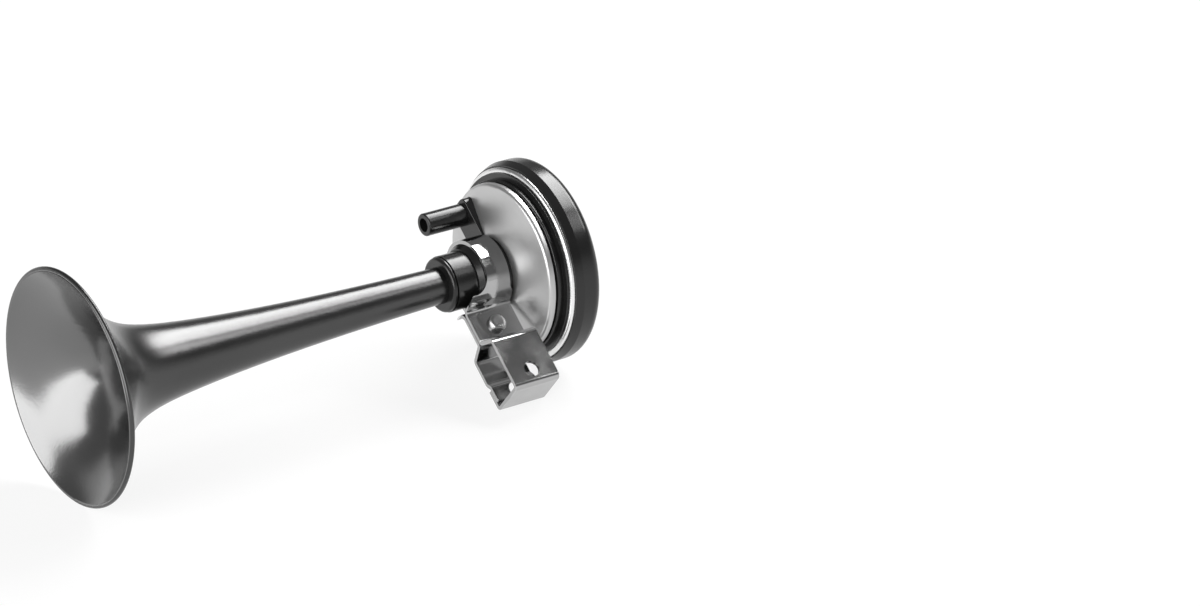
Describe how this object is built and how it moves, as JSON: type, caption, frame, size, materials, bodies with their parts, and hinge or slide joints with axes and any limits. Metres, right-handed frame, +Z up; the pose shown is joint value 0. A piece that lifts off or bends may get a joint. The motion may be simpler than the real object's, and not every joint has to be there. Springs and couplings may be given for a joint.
{
  "type": "car air horn trumpet",
  "caption": "Air horn trumpet for a car: flared bell and tube, round sound capsule with a hose spigot, and a folded clamp bracket round the neck. It lies on its side.",
  "frame": {"origin": "on the floor, under the middle of the box round the lying horn", "axes": "+X from the bell towards the rear cap, +Z up"},
  "size_m": [0.1786, 0.076, 0.076],
  "materials": {
    "trumpet_finish": "smooth satin-gloss grey",
    "dish_finish": "satin grey",
    "black_plastic": "gloss black moulding",
    "rubber": "matt black rubber",
    "brass": "turned brass",
    "spring_steel": "bright rolled steel",
    "plated_steel": "zinc-plated steel",
    "bright_plate": "bright plated steel"
  },
  "bodies": {
    "root": {"trumpet": "trumpet_finish", "tube_collar": "black_plastic", "seal_ring": "rubber", "front_housing": "black_plastic", "dish_plate": "dish_finish", "throat_nozzle": "brass", "front_gasket": "rubber", "diaphragm": "spring_steel", "rear_gasket": "rubber", "back_plate": "plated_steel", "crimp_ring": "bright_plate", "rear_cap": "black_plastic", "mounting_bracket": "bright_plate", "clamp_bolt": "plated_steel", "clamp_washer": "plated_steel", "clamp_nut": "plated_steel"}
  },
  "joints": []
}
